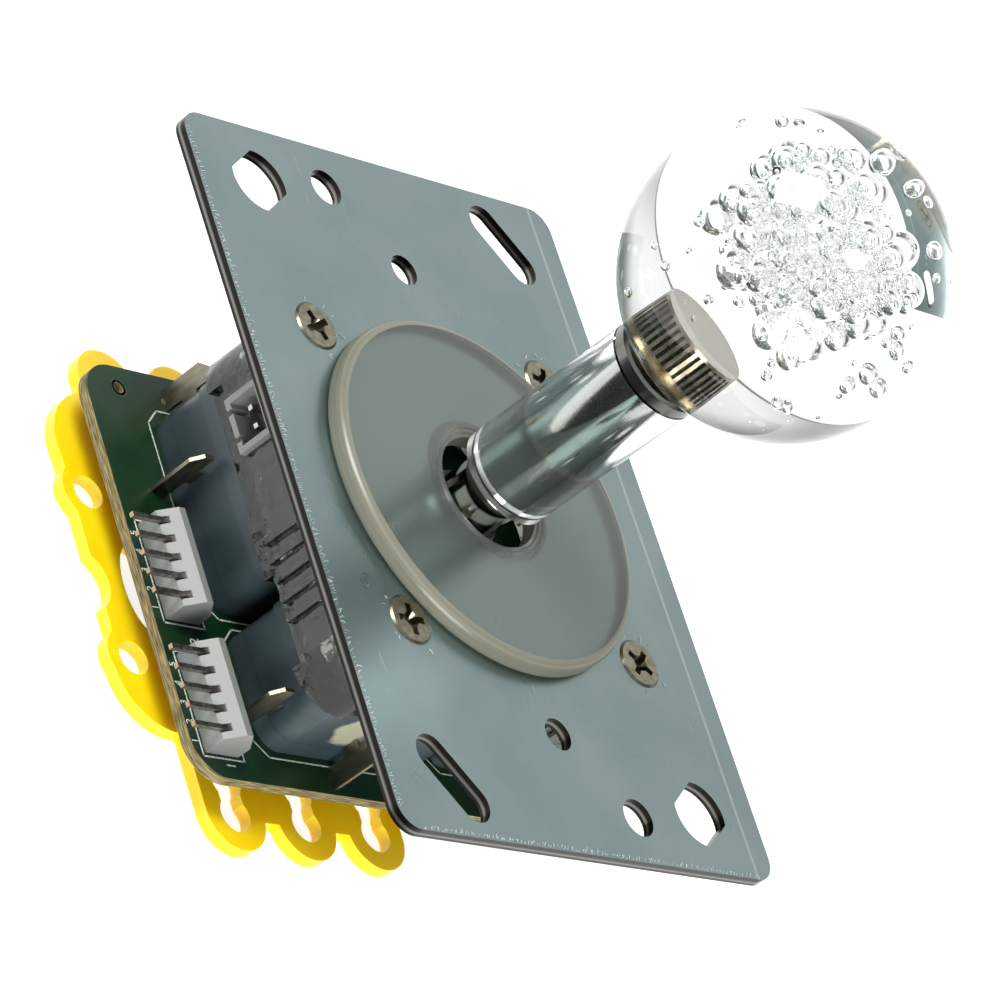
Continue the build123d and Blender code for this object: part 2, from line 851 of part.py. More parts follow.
def build():
    """Write every piece of the lever assembly."""
    os.makedirs("parts", exist_ok=True)
    save("mounting_plate", mounting_plate())
    save("plate_screws", plate_screws())
    save("dust_disc", dust_disc())
    save("clear_housing", clear_housing())
    save("led_board", led_board())
    save("leds", leds())
    save("led_header_shell", led_header_shell())
    save("led_header_pins", led_pins(0))
    save("switch_board", switch_board())
    for turn, side in enumerate(("left", "front", "right", "rear")):
        save(f"switch_case_{side}", place_switch(turn, switch_case()))
        save(f"switch_plunger_{side}", place_switch(turn, switch_plunger()))
        save(f"switch_terminals_{side}", place_switch(turn, switch_terminals()))
    for name, centre in (("a", header_centre_a), ("b", header_centre_b)):
        save(f"pin_header_body_{name}", pin_header_body(centre))
        save(f"pin_header_pins_{name}", header_pin_set(centre, 0))
    save("restrictor_gate", restrictor_gate())
    save("spring_washer", spring_washer())
    save("centring_spring", centring_spring())
    save("pivot_ball", pivot_ball())
    save("actuator", actuator())
    save("retaining_clip", retaining_clip())
    save("lever_shaft", lever_shaft())
    save("clear_sleeve", clear_sleeve())
    save("ferrule_ring", ferrule_ring())
    save("knurled_insert", knurled_insert())
    save("ball_top", ball_top())


build()
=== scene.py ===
import math
import random

import bmesh
import bpy
from mathutils import Matrix, Vector


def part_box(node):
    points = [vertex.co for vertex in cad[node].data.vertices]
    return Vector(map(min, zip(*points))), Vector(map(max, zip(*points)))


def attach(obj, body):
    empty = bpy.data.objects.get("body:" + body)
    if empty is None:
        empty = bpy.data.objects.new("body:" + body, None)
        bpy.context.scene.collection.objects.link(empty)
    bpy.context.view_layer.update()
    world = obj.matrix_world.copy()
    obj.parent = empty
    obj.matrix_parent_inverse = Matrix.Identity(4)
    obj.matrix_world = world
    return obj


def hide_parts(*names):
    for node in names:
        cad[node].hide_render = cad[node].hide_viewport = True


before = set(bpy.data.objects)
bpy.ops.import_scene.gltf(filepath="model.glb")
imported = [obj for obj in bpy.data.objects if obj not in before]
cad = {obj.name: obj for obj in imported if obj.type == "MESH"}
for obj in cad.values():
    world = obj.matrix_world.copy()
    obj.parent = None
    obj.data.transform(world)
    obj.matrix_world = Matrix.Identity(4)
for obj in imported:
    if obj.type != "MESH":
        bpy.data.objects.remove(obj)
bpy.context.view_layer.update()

MM = 0.001
FLOOR_Z = -32.4 * MM
SIDES = ("left", "front", "right", "rear")

# Places of marks in the finishes, in millimetres
FILM_EDGE_X = 29.6
COLLAR_TOP = 39.1        # where the insert's brass collar meets its teeth
TOOTH_ROOT, TOOTH_CREST = 3.65, 3.88
SEAM_Z = -22.9           # parting line of the switch cases
GLUE_PLACE = (-12.5, -24.0, -19.0)
PIN_TIP_X = -36.38
LIT_TABLE = 0.27         # radius of the table's lit part, in metres


# Colours and nodes


def colour(code):
    """Linear RGBA of an sRGB hex colour."""
    parts = [int(code[i:i + 2], 16) / 255 for i in (1, 3, 5)]
    return tuple(p / 12.92 if p <= 0.04045 else ((p + 0.055) / 1.055) ** 2.4 for p in parts) + (1.0,)


def per_mm(size):
    """Scale of a pattern whose features are this many millimetres."""
    return 1 / (size * MM)


def add(tree, kind, inputs=None, stops=None, **settings):
    """Add one node with its settings, its values or links, and a colour ramp's stops."""
    made = tree.nodes.new("ShaderNode" + kind)
    for name, value in settings.items():
        setattr(made, name, value)
    for name, value in (inputs or {}).items():
        if isinstance(value, bpy.types.NodeSocket):
            tree.links.new(value, made.inputs[name])
        else:
            made.inputs[name].default_value = value
    if stops:
        ramp = made.color_ramp
        while len(ramp.elements) < len(stops):
            ramp.elements.new(1.0)
        for element, (place, shade) in zip(ramp.elements, stops):
            element.position = place
            element.color = shade if isinstance(shade, tuple) else (shade, shade, shade, 1.0)
    return made


def finish(name, build):
    """Material made from a shader tree that the build function fills."""
    made = bpy.data.materials.new(name)
    made.use_nodes = True
    tree = made.node_tree
    tree.nodes.clear()
    shader = build(tree)
    add(tree, "OutputMaterial", {"Surface": shader.outputs[0]})
    return made


def place(tree):
    """Position in the part's own frame."""
    return add(tree, "TexCoord").outputs["Object"]


def facing_up(tree):
    """How far a surface's normal leans to the part's Z axis: 1 on a flat top or underside, 0 on a wall."""
    normal = add(tree, "TexCoord").outputs["Normal"]
    height = add(tree, "SeparateXYZ", {"Vector": normal}).outputs["Z"]
    return add(tree, "Math", {0: height}, operation="ABSOLUTE").outputs[0]


def stretched(tree, scale):
    """Part's position stretched by its own factor along each axis."""
    return add(tree, "Mapping", {"Vector": place(tree), "Scale": scale}).outputs[0]


# Finishes


def zinc_plated_steel(tree):
    """Blue-passivated zinc on cold-rolled sheet under a clear film: satin blue-grey, faint rolling lines."""
    grain = add(tree, "TexNoise", {"Vector": place(tree), "Scale": per_mm(0.5), "Detail": 3.0})
    clouds = add(tree, "TexNoise", {"Vector": place(tree), "Scale": per_mm(18), "Detail": 3.0})
    top = add(tree, "ValToRGB", {"Fac": clouds.outputs[0]},
              stops=((0.35, colour("#7E9191")), (0.65, colour("#8A9C9A"))))
    # Hair scratches in the film, a few tenths of a millimetre wide
    scratch = add(tree, "TexNoise", {"Vector": stretched(tree, (per_mm(0.9), per_mm(9), 1)), "Scale": 1.0,
                                     "Detail": 6.0, "Distortion": 1.5})
    marks = add(tree, "ValToRGB", {"Fac": scratch.outputs[0]}, stops=((0.71, 0.0), (0.74, 0.3)))
    scratched = add(tree, "MixRGB", {"Fac": marks.outputs[0], "Color1": top.outputs[0],
                                     "Color2": colour("#C8D3D6")})
    # Film's straight edge, a light line 3 mm inside the right edge
    x = add(tree, "SeparateXYZ", {"Vector": place(tree)}).outputs["X"]
    offset = add(tree, "Math", {0: x, 1: FILM_EDGE_X * MM}, operation="SUBTRACT").outputs[0]
    away = add(tree, "Math", {0: offset}, operation="ABSOLUTE").outputs[0]
    line = add(tree, "MapRange", {"Value": away, "From Min": 0.0, "From Max": 0.35 * MM, "To Min": 0.8,
                                  "To Max": 0.0})
    edged = add(tree, "MixRGB", {"Fac": line.outputs[0], "Color1": scratched.outputs[0],
                                 "Color2": colour("#B4C1C4")})
    # Sheared edge of the sheet: dark at both corners of the cut, greyer in its middle
    wall = add(tree, "ValToRGB", {"Fac": facing_up(tree)}, stops=((0.4, 0.0), (0.7, 1.0)))
    z = add(tree, "SeparateXYZ", {"Vector": place(tree)}).outputs["Z"]
    level = add(tree, "MapRange", {"Value": z, "From Min": -1.6 * MM, "From Max": 0.0})
    cut = add(tree, "ValToRGB", {"Fac": level.outputs[0]},
              stops=((0.22, colour("#2B2622")), (0.36, colour("#7E807E")), (0.46, colour("#666865")),
                     (0.6, colour("#221D19"))))
    both = add(tree, "MixRGB", {"Fac": wall.outputs[0], "Color1": cut.outputs[0],
                                "Color2": edged.outputs[0]})
    rough = add(tree, "MapRange", {"Value": clouds.outputs[0], "To Min": 0.22, "To Max": 0.36})
    relief = add(tree, "Bump", {"Height": grain.outputs[0], "Strength": 0.04, "Distance": 0.05 * MM})
    return add(tree, "BsdfPrincipled", {"Base Color": both.outputs[0], "Metallic": 0.92,
                                        "Roughness": rough.outputs[0], "Normal": relief.outputs[0]})


def nickel_plated_screw(tree):
    """Dull nickel over zinc: warm grey metal, rubbed and slightly pitted."""
    grain = add(tree, "TexNoise", {"Vector": place(tree), "Scale": per_mm(0.8), "Detail": 5.0})
    tone = add(tree, "ValToRGB", {"Fac": grain.outputs[0]},
               stops=((0.3, colour("#75715F")), (0.7, colour("#9A9683"))))
    relief = add(tree, "Bump", {"Height": grain.outputs[0], "Strength": 0.2, "Distance": 0.05 * MM})
    return add(tree, "BsdfPrincipled", {"Base Color": tone.outputs[0], "Metallic": 1.0, "Roughness": 0.3,
                                        "Normal": relief.outputs[0]})


def clear_acrylic(tree):
    """Cast acrylic, polished: colourless, with faint drag marks in the gloss."""
    grain = add(tree, "TexNoise", {"Vector": place(tree), "Scale": per_mm(2.5), "Detail": 2.0})
    rough = add(tree, "MapRange", {"Value": grain.outputs[0], "To Min": 0.0, "To Max": 0.02})
    return add(tree, "BsdfPrincipled", {"Base Color": colour("#F9FBFA"), "Roughness": rough.outputs[0],
                                        "IOR": 1.49, "Transmission Weight": 1.0})


def dull_acrylic(tree):
    """Acrylic sheet of the dust disc, dulled by handling, with the sheet's green-grey tint."""
    haze = add(tree, "TexNoise", {"Vector": place(tree), "Scale": per_mm(8), "Detail": 4.0})
    rough = add(tree, "MapRange", {"Value": haze.outputs[0], "To Min": 0.1, "To Max": 0.26})
    return add(tree, "BsdfPrincipled", {"Base Color": colour("#CCD7D1"), "Roughness": rough.outputs[0],
                                        "IOR": 1.49, "Transmission Weight": 0.93})


def scuffed_acrylic(tree):
    """Clear tube round the shaft, scuffed by fine scratches that run round it and a few along it."""
    rings = add(tree, "TexNoise", {"Vector": stretched(tree, (per_mm(9), per_mm(9), per_mm(0.12))),
                                   "Scale": 1.0, "Detail": 4.0})
    rough = add(tree, "MapRange", {"Value": rings.outputs[0], "From Min": 0.5, "From Max": 0.8,
                                   "To Min": 0.03, "To Max": 0.12})
    relief = add(tree, "Bump", {"Height": rings.outputs[0], "Strength": 0.05, "Distance": 0.03 * MM})
    return add(tree, "BsdfPrincipled", {"Base Color": colour("#F2F4F2"), "Roughness": rough.outputs[0],
                                        "IOR": 1.49, "Transmission Weight": 1.0,
                                        "Normal": relief.outputs[0]})


def turned_acrylic(tree):
    """Acrylic left from the lathe at the disc's rim and bore: milky beige with fine turning lines."""
    lines = add(tree, "TexNoise", {"Vector": stretched(tree, (1, 1, per_mm(0.25))), "Scale": 1.0,
                                   "Detail": 4.0})
    tone = add(tree, "ValToRGB", {"Fac": lines.outputs[0]},
               stops=((0.35, colour("#757567")), (0.65, colour("#989786"))))
    return add(tree, "BsdfPrincipled", {"Base Color": tone.outputs[0], "Roughness": 0.28, "IOR": 1.49,
                                        "Transmission Weight": 0.25})


def clear_polycarbonate(tree):
    """Injection-moulded polycarbonate: clear, with a grey-green tint that is painted shade for the housing's
    place under the plate, and flow ripples.
    """
    flow = add(tree, "TexNoise", {"Vector": place(tree), "Scale": per_mm(3.2), "Detail": 1.5,
                                  "Distortion": 0.6})
    relief = add(tree, "Bump", {"Height": flow.outputs[0], "Strength": 0.6, "Distance": 0.5 * MM})
    # Dark grey-green base colour: painted shade, standing in for the plate's shadow over the housing
    return add(tree, "BsdfPrincipled", {"Base Color": colour("#838B7E"), "Roughness": 0.03, "IOR": 1.58,
                                        "Transmission Weight": 1.0, "Normal": relief.outputs[0]})


def chromed_steel(tree):
    """Polished hard chrome with fine turning rings round the shaft."""
    rings = add(tree, "TexNoise", {"Vector": stretched(tree, (1, 1, per_mm(0.35))), "Scale": 1.0,
                                   "Detail": 5.0})
    rough = add(tree, "MapRange", {"Value": rings.outputs[0], "From Min": 0.45, "From Max": 0.8,
                                   "To Min": 0.06, "To Max": 0.15})
    relief = add(tree, "Bump", {"Height": rings.outputs[0], "Strength": 0.05, "Distance": 0.05 * MM})
    return add(tree, "BsdfPrincipled", {"Base Color": colour("#C4C6C3"), "Metallic": 1.0,
                                        "Roughness": rough.outputs[0], "Normal": relief.outputs[0]})


def black_nickel_brass(tree):
    """Turned brass under dark nickel: brown-grey teeth above a collar where the brass shows golden."""
    wear = add(tree, "TexNoise", {"Vector": place(tree), "Scale": per_mm(1.5), "Detail": 4.0})
    dark = add(tree, "ValToRGB", {"Fac": wear.outputs[0]},
               stops=((0.4, colour("#6B6353")), (0.62, colour("#A09681"))))
    gold = add(tree, "ValToRGB", {"Fac": wear.outputs[0]},
               stops=((0.4, colour("#8D7A4E")), (0.62, colour("#C2B48C"))))
    z = add(tree, "SeparateXYZ", {"Vector": place(tree)}).outputs["Z"]
    height = add(tree, "MapRange", {"Value": z, "From Min": (COLLAR_TOP - 0.2) * MM,
                                     "From Max": (COLLAR_TOP + 0.2) * MM})
    # Teeth painted near black in their roots and lighter on their crests: painted shade in the grooves
    # between the teeth
    across = add(tree, "VectorMath", {0: stretched(tree, (1, 1, 0))}, operation="LENGTH")
    crest = add(tree, "MapRange", {"Value": across.outputs["Value"], "From Min": TOOTH_ROOT * MM,
                                   "From Max": TOOTH_CREST * MM})
    groove_shaded_teeth = add(tree, "MixRGB", {"Fac": crest.outputs[0], "Color1": colour("#17130D"),
                                 "Color2": dark.outputs[0]})
    # Faced end, bright from the tool
    end = add(tree, "ValToRGB", {"Fac": facing_up(tree)}, stops=((0.6, 0.0), (0.8, 1.0)))
    faced = add(tree, "MixRGB", {"Fac": end.outputs[0], "Color1": groove_shaded_teeth.outputs[0],
                                 "Color2": colour("#B9B5AA")})
    tone = add(tree, "MixRGB", {"Fac": height.outputs[0], "Color1": gold.outputs[0],
                                "Color2": faced.outputs[0]})
    return add(tree, "BsdfPrincipled", {"Base Color": tone.outputs[0], "Metallic": 1.0, "Roughness": 0.24})


def natural_acetal(tree):
    """Moulded acetal: milky white, waxy."""
    grain = add(tree, "TexNoise", {"Vector": place(tree), "Scale": per_mm(0.6), "Detail": 3.0})
    relief = add(tree, "Bump", {"Height": grain.outputs[0], "Strength": 0.1, "Distance": 0.05 * MM})
    return add(tree, "BsdfPrincipled", {"Base Color": colour("#E4E3DC"), "Roughness": 0.35, "IOR": 1.48,
                                        "Subsurface Weight": 0.15, "Subsurface Scale": 1.0 * MM,
                                        "Normal": relief.outputs[0]})


def black_acetal(tree):
    """Moulded black acetal of the pivot ball, greased."""
    grain = add(tree, "TexNoise", {"Vector": place(tree), "Scale": per_mm(1.2), "Detail": 2.0})
    rough = add(tree, "MapRange", {"Value": grain.outputs[0], "To Min": 0.2, "To Max": 0.4})
    return add(tree, "BsdfPrincipled", {"Base Color": colour("#3B443F"), "Roughness": rough.outputs[0],
                                        "IOR": 1.48})


def spring_steel(tree):
    """Drawn spring steel: grey, with draw lines along the wire."""
    grain = add(tree, "TexNoise", {"Vector": place(tree), "Scale": per_mm(0.4), "Detail": 4.0})
    rough = add(tree, "MapRange", {"Value": grain.outputs[0], "To Min": 0.22, "To Max": 0.4})
    return add(tree, "BsdfPrincipled", {"Base Color": colour("#8C8C8A"), "Metallic": 1.0,
                                        "Roughness": rough.outputs[0]})


def green_solder_mask(tree):
    """Dark green solder mask on glass fibre, whose sawn edge shows tan fibres."""
    mask = add(tree, "TexNoise", {"Vector": place(tree), "Scale": per_mm(7), "Detail": 3.0})
    green = add(tree, "ValToRGB", {"Fac": mask.outputs[0]},
                stops=((0.35, colour("#04240C")), (0.65, colour("#083113"))))
    fibre = add(tree, "TexNoise", {"Vector": stretched(tree, (per_mm(2.4), per_mm(2.4), per_mm(0.14))),
                                   "Scale": 1.0, "Detail": 6.0})
    tan = add(tree, "ValToRGB", {"Fac": fibre.outputs[0]},
              stops=((0.38, colour("#443B22")), (0.52, colour("#7A6D46")), (0.66, colour("#A1956B"))))
    wall = add(tree, "ValToRGB", {"Fac": facing_up(tree)}, stops=((0.4, 0.0), (0.7, 1.0)))
    both = add(tree, "MixRGB", {"Fac": wall.outputs[0], "Color1": tan.outputs[0],
                                "Color2": green.outputs[0]})
    rough = add(tree, "MapRange", {"Value": wall.outputs[0], "To Min": 0.8, "To Max": 0.38})
    relief = add(tree, "Bump", {"Height": fibre.outputs[0], "Strength": 0.2, "Distance": 0.1 * MM})
    return add(tree, "BsdfPrincipled", {"Base Color": both.outputs[0], "Roughness": rough.outputs[0],
                                        "IOR": 1.5, "Normal": relief.outputs[0]})


def slate_nylon(tree):
    """Glass-filled nylon: dark slate blue, satin, with a fine moulded grain."""
    grain = add(tree, "TexNoise", {"Vector": place(tree), "Scale": per_mm(0.35), "Detail": 3.0})
    cloud = add(tree, "TexNoise", {"Vector": place(tree), "Scale": per_mm(9), "Detail": 2.0})
    tone = add(tree, "ValToRGB", {"Fac": cloud.outputs[0]},
               stops=((0.35, colour("#2B383C")), (0.65, colour("#37464A"))))
    # Parting line of the case and its lid, a quarter of the way up
    z = add(tree, "SeparateXYZ", {"Vector": place(tree)}).outputs["Z"]
    offset = add(tree, "Math", {0: z, 1: SEAM_Z * MM}, operation="SUBTRACT").outputs[0]
    away = add(tree, "Math", {0: offset}, operation="ABSOLUTE").outputs[0]
    seam = add(tree, "MapRange", {"Value": away, "From Min": 0.05 * MM, "From Max": 0.12 * MM,
                                  "To Min": 0.6, "To Max": 0.0})
    lined = add(tree, "MixRGB", {"Fac": seam.outputs[0], "Color1": tone.outputs[0],
                                 "Color2": colour("#1C2529")})
    relief = add(tree, "Bump", {"Height": grain.outputs[0], "Strength": 0.12, "Distance": 0.05 * MM})
    # Dried glue smeared on the front case's outer face
    smear = add(tree, "TexNoise", {"Vector": place(tree), "Scale": per_mm(2.2), "Detail": 3.0})
    reach = add(tree, "VectorMath", {0: place(tree), 1: Vector(GLUE_PLACE) * MM},
                operation="DISTANCE")
    near = add(tree, "MapRange", {"Value": reach.outputs["Value"], "From Min": 1.5 * MM, "From Max": 5 * MM,
                                  "To Min": 1.0, "To Max": 0.0})
    blot = add(tree, "Math", {0: near.outputs[0], 1: smear.outputs[0]}, operation="MULTIPLY")
    glue = add(tree, "ValToRGB", {"Fac": blot.outputs[0]}, stops=((0.2, 0.0), (0.34, 0.75)))
    glued = add(tree, "MixRGB", {"Fac": glue.outputs[0], "Color1": lined.outputs[0],
                                 "Color2": colour("#B2B297")})
    return add(tree, "BsdfPrincipled", {"Base Color": glued.outputs[0], "Roughness": 0.36, "IOR": 1.53,
                                        "Normal": relief.outputs[0]})


def red_acetal(tree):
    """Moulded red plunger, glossy where the lever rubs it."""
    wear = add(tree, "TexNoise", {"Vector": place(tree), "Scale": per_mm(1.0), "Detail": 2.0})
    rough = add(tree, "MapRange", {"Value": wear.outputs[0], "To Min": 0.2, "To Max": 0.4})
    return add(tree, "BsdfPrincipled", {"Base Color": colour("#9C2A22"), "Roughness": rough.outputs[0],
                                        "IOR": 1.48})


def tinned_brass(tree):
    """Stamped brass under thin tin: dull bronze-grey, brassy where the tin has worn."""
    wear = add(tree, "TexNoise", {"Vector": stretched(tree, (per_mm(0.7), per_mm(0.7), per_mm(2.5))),
                                  "Scale": 1.0, "Detail": 4.0})
    tone = add(tree, "ValToRGB", {"Fac": wear.outputs[0]},
               stops=((0.35, colour("#7A7667")), (0.6, colour("#8E8977")), (0.75, colour("#A39468"))))
    rough = add(tree, "MapRange", {"Value": wear.outputs[0], "To Min": 0.28, "To Max": 0.42})
    return add(tree, "BsdfPrincipled", {"Base Color": tone.outputs[0], "Metallic": 1.0,
                                        "Roughness": rough.outputs[0]})


def white_nylon(tree):
    """Unfilled moulded nylon, slightly see-through, with a fine texture; its mid-grey base colour is painted
    shade on the white nylon, for the headers' place under the plate.
    """
    grain = add(tree, "TexNoise", {"Vector": place(tree), "Scale": per_mm(0.5), "Detail": 4.0})
    relief = add(tree, "Bump", {"Height": grain.outputs[0], "Strength": 0.15, "Distance": 0.06 * MM})
    # Mid-grey base colour: painted shade, since the white headers stand in the plate's shadow
    return add(tree, "BsdfPrincipled", {"Base Color": colour("#7F827D"), "Roughness": 0.4, "IOR": 1.53,
                                        "Subsurface Weight": 0.25, "Subsurface Scale": 1.2 * MM,
                                        "Normal": relief.outputs[0]})


def tinned_copper_alloy(tree):
    """Tin-plated square wire: bright grey, with copper showing at the cut tips."""
    grain = add(tree, "TexNoise", {"Vector": place(tree), "Scale": per_mm(0.5), "Detail": 3.0})
    tin = add(tree, "ValToRGB", {"Fac": grain.outputs[0]},
              stops=((0.35, colour("#8F8C86")), (0.65, colour("#C2BEB4"))))
    x = add(tree, "SeparateXYZ", {"Vector": place(tree)}).outputs["X"]
    tip = add(tree, "MapRange", {"Value": x, "From Min": PIN_TIP_X * MM,
                                 "From Max": (PIN_TIP_X + 0.13) * MM,
                                 "To Min": 1.0, "To Max": 0.0})
    tone = add(tree, "MixRGB", {"Fac": tip.outputs[0], "Color1": tin.outputs[0],
                                "Color2": colour("#A9927A")})
    return add(tree, "BsdfPrincipled", {"Base Color": tone.outputs[0], "Metallic": 1.0, "Roughness": 0.3})


def yellow_abs(tree):
    """Moulded ABS: bright opaque yellow, glossy with faint flow marks."""
    flow = add(tree, "TexNoise", {"Vector": place(tree), "Scale": per_mm(6), "Detail": 2.0})
    tone = add(tree, "ValToRGB", {"Fac": flow.outputs[0]},
               stops=((0.35, colour("#FCD40A")), (0.65, colour("#FFDF14"))))
    relief = add(tree, "Bump", {"Height": flow.outputs[0], "Strength": 0.1, "Distance": 0.3 * MM})
    return add(tree, "BsdfPrincipled", {"Base Color": tone.outputs[0], "Roughness": 0.24, "IOR": 1.54,
                                        "Subsurface Weight": 0.45, "Subsurface Scale": 2.5 * MM,
                                        "Normal": relief.outputs[0]})


def milky_epoxy(tree):
    """Lamp's cast epoxy: milky, faintly yellow over its phosphor."""
    glow = add(tree, "TexNoise", {"Vector": place(tree), "Scale": per_mm(2), "Detail": 1.0})
    tone = add(tree, "ValToRGB", {"Fac": glow.outputs[0]},
               stops=((0.4, colour("#EDE7B8")), (0.6, colour("#F5F3E2"))))
    return add(tree, "BsdfPrincipled", {"Base Color": tone.outputs[0], "Roughness": 0.2, "IOR": 1.53,
                                        "Subsurface Weight": 0.3, "Subsurface Scale": 1.0 * MM})


def silkscreen_ink(tree):
    """White epoxy ink, matt and a little uneven."""
    grain = add(tree, "TexNoise", {"Vector": place(tree), "Scale": per_mm(0.3), "Detail": 2.0})
    tone = add(tree, "ValToRGB", {"Fac": grain.outputs[0]},
               stops=((0.35, colour("#A9B8AC")), (0.6, colour("#E6ECE4"))))
    return add(tree, "BsdfPrincipled", {"Base Color": tone.outputs[0], "Roughness": 0.6})


def dark_chrome(tree):
    """Chrome over black nickel on the collar: darker and browner than the shaft."""
    rings = add(tree, "TexNoise", {"Vector": stretched(tree, (1, 1, per_mm(0.3))), "Scale": 1.0,
                                   "Detail": 3.0})
    rough = add(tree, "MapRange", {"Value": rings.outputs[0], "To Min": 0.1, "To Max": 0.25})
    return add(tree, "BsdfPrincipled", {"Base Color": colour("#6E6F6A"), "Metallic": 1.0,
                                        "Roughness": rough.outputs[0]})


def torn_film(tree):
    """Torn polyethylene film: white where it is stretched, thin and glossy."""
    grain = add(tree, "TexNoise", {"Vector": place(tree), "Scale": per_mm(0.8), "Detail": 2.0})
    tone = add(tree, "ValToRGB", {"Fac": grain.outputs[0]},
               stops=((0.35, colour("#C9D4D6")), (0.65, colour("#F4F7F7"))))
    return add(tree, "BsdfPrincipled", {"Base Color": tone.outputs[0], "Roughness": 0.3,
                                        "Transmission Weight": 0.2})


def white_floor(tree):
    """Matt white acrylic table, lit a little from below."""
    fibre = add(tree, "TexNoise", {"Vector": place(tree), "Scale": per_mm(2), "Detail": 2.0})
    tone = add(tree, "ValToRGB", {"Fac": fibre.outputs[0]},
               stops=((0.3, colour("#BCBCBC")), (0.7, colour("#C4C4C4"))))
    # Lit table ends beyond the picture, in a grey room
    reach = add(tree, "VectorMath", {0: place(tree)}, operation="LENGTH")
    glow = add(tree, "MapRange", {"Value": reach.outputs["Value"], "From Min": LIT_TABLE,
                                  "From Max": LIT_TABLE + 0.06,
                                  "To Min": 0.8, "To Max": 0.06})
    beyond = add(tree, "MapRange", {"Value": reach.outputs["Value"], "From Min": LIT_TABLE + 0.01,
                                    "From Max": LIT_TABLE + 0.09})
    shade = add(tree, "MixRGB", {"Fac": beyond.outputs[0], "Color1": tone.outputs[0],
                                 "Color2": colour("#6E6F6E")})
    return add(tree, "BsdfPrincipled", {"Base Color": shade.outputs[0], "Roughness": 0.9,
                                        "Emission Color": (1.0, 1.0, 1.0, 1.0),
                                        "Emission Strength": glow.outputs[0]})


def black_flag(tree):
    """Matt black card, whose reflection makes the dark streak in the chrome."""
    return add(tree, "BsdfPrincipled", {"Base Color": colour("#0C0B0A"), "Roughness": 0.9})


FINISHES = {f.__name__: finish(f.__name__, f) for f in (
    zinc_plated_steel, nickel_plated_screw, clear_acrylic, turned_acrylic, clear_polycarbonate,
    chromed_steel, black_nickel_brass, natural_acetal, spring_steel, green_solder_mask, slate_nylon,
    red_acetal, tinned_brass, white_nylon, tinned_copper_alloy, yellow_abs, milky_epoxy, silkscreen_ink,
    torn_film, dark_chrome, dull_acrylic, scuffed_acrylic, black_acetal, white_floor, black_flag)}

CAD_FINISHES = {
    "mounting_plate": "zinc_plated_steel", "plate_screws": "nickel_plated_screw",
    "dust_disc": "clear_acrylic", "clear_housing": "clear_polycarbonate",
    "led_board": "green_solder_mask", "leds": "milky_epoxy", "led_header_shell": "white_nylon",
    "led_header_pins": "tinned_copper_alloy", "switch_board": "green_solder_mask",
    "pin_header_body_a": "white_nylon", "pin_header_body_b": "white_nylon",
    "pin_header_pins_a": "tinned_copper_alloy", "pin_header_pins_b": "tinned_copper_alloy",
    "restrictor_gate": "yellow_abs", "spring_washer": "spring_steel", "centring_spring": "spring_steel",
    "pivot_ball": "black_acetal", "actuator": "natural_acetal", "retaining_clip": "spring_steel",
    "lever_shaft": "chromed_steel", "clear_sleeve": "scuffed_acrylic", "ferrule_ring": "dark_chrome",
    "knurled_insert": "black_nickel_brass", "ball_top": "clear_acrylic",
}
for side in SIDES:
    CAD_FINISHES["switch_case_" + side] = "slate_nylon"
    CAD_FINISHES["switch_plunger_" + side] = "red_acetal"
    CAD_FINISHES["switch_terminals_" + side] = "tinned_brass"


for node, name in CAD_FINISHES.items():
    cad[node].data.materials.clear()
    cad[node].data.materials.append(FINISHES[name])


# Mesh helpers


def piece_from(name, bm, *finishes, crease=35):
    """Object from a bmesh in metres, smooth except where its faces meet at more than the crease angle."""
    limit = math.radians(crease)
    bm.normal_update()
    for edge in bm.edges:
        edge.smooth = edge.calc_face_angle(0) < limit
    for face in bm.faces:
        face.smooth = True
    mesh = bpy.data.meshes.new(name)
    bm.to_mesh(mesh)
    bm.free()
    made = bpy.data.objects.new(name, mesh)
    bpy.context.scene.collection.objects.link(made)
    for finish_name in finishes:
        mesh.materials.append(FINISHES[finish_name])
    return made


def turned(profile, centre=(0, 0), segments=192):
    """Closed profile of (radius, height, finish index) in millimetres, turned round an upright axis."""
    bm = bmesh.new()
    rings = []
    for radius, height, _ in profile:
        if radius == 0:
            rings.append([bm.verts.new((centre[0] * MM, centre[1] * MM, height * MM))] * segments)
            continue
        ring = []
        for i in range(segments):
            a = math.tau * i / segments
            ring.append(bm.verts.new(((centre[0] + radius * math.cos(a)) * MM,
                                      (centre[1] + radius * math.sin(a)) * MM, height * MM)))
        rings.append(ring)
    for k, lower in enumerate(rings):
        upper = rings[(k + 1) % len(rings)]
        if profile[k][0] == 0 and profile[(k + 1) % len(rings)][0] == 0:
            continue
        for i in range(segments):
            j = (i + 1) % segments
            corners = []
            for v in (lower[i], lower[j], upper[j], upper[i]):
                if v not in corners:
                    corners.append(v)
            face = bm.faces.new(corners)
            face.material_index = profile[k][2]
    bmesh.ops.recalc_face_normals(bm, faces=bm.faces)
    return bm


def arc(centre_r, centre_z, radius, start, end, steps, index):
    """Points of an arc in a profile, by angle in degrees."""
    points = []
    for i in range(steps + 1):
        a = math.radians(start + (end - start) * i / steps)
        points.append((centre_r + radius * math.cos(a), centre_z + radius * math.sin(a), index))
    return points


# Dust disc: clear ring with a rounded, turned rim and two fine steps round its bore

DISC_R = 24.2
DISC_T = 2.5
DISC_CENTRE = (-0.8, -0.7)
DISC_BORE = 7.6
LIFT = 0.04              # film of air under the disc
RIM_ROUND = 1.2
RIM_BEVEL = 0.3
CLEAR, TURNED = 0, 1     # places of the disc's two finishes in its list
